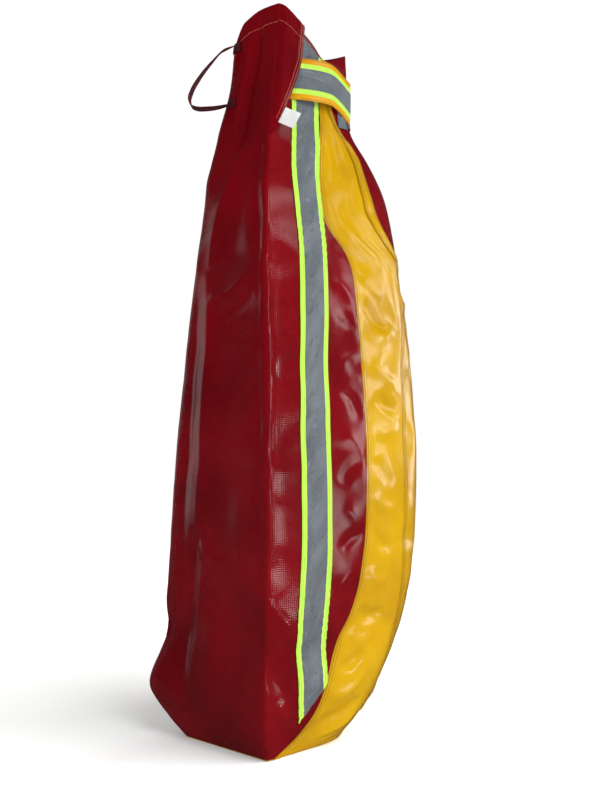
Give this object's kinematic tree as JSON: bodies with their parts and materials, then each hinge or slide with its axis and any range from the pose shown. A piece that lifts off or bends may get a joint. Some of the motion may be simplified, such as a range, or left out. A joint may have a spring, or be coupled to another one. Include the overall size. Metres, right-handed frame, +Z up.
{
  "type": "tall tapered gear bag",
  "caption": "Tall tapered coated-fabric gear bag with a full front, a gathered neck, side tapes, a closure strap and a hanging loop.",
  "frame": {"origin": "centre of the flat base, on the surface the bag stands on", "axes": "+Z up along the bag to its collar, +X from the flat red back towards the full yellow front, -Y the side with the strap's sewn end"},
  "size_m": [0.4018, 0.3126, 1.16],
  "materials": {
    "red_vinyl": "glossy coated fabric with a fine woven texture",
    "yellow_vinyl": "glossy coated fabric with a fine woven texture",
    "lime_tape": "fluorescent woven tape",
    "silver_tape": "grey retro-reflective coating, satin",
    "webbing_red": "woven nylon webbing",
    "hook_loop_black": "matte hook-and-loop pile",
    "snap_metal": "dull nickel-plated brass",
    "label_white": "white woven label"
  },
  "bodies": {
    "bag": {"back_panel": "red_vinyl", "near_side_panel": "red_vinyl", "far_side_panel": "red_vinyl", "front_gusset": "yellow_vinyl", "base_panel": "yellow_vinyl", "collar_lobe": "red_vinyl", "near_tape": "lime_tape", "near_tape_silver": "silver_tape", "far_tape": "lime_tape", "far_tape_silver": "silver_tape", "placket_strip": "yellow_vinyl", "gusset_hem": "yellow_vinyl", "rim_hem": "red_vinyl", "lobe_hem": "red_vinyl", "strap_anchor": "yellow_vinyl", "neck_loop_patch": "hook_loop_black", "neck_reflector": "silver_tape", "snap_stud": "snap_metal", "loop_anchors": "webbing_red"},
    "strap": {"closure_strap": "yellow_vinyl", "strap_tape": "lime_tape", "strap_tape_silver": "silver_tape", "strap_hook_patch": "hook_loop_black"},
    "loop": {"hanging_loop": "webbing_red"},
    "tag": {"label": "label_white"}
  },
  "joints": [
    {"name": "strap_swing", "type": "hinge", "parent": "bag", "child": "strap", "pos_m": [-0.0165, -0.083, 1.042], "axis": [-0.16, -0.0267, -0.9868], "range_deg": [0, 70]},
    {"name": "loop_swing", "type": "hinge", "parent": "bag", "child": "loop", "pos_m": [-0.074, 0.014, 1.056], "axis": [0, 0, 1], "range_deg": [-15, 40]},
    {"name": "label_flip", "type": "hinge", "parent": "bag", "child": "tag", "pos_m": [-0.061, -0.084, 0.958], "axis": [0.3962, -0.1801, 0.9004], "range_deg": [-50, 0]}
  ]
}
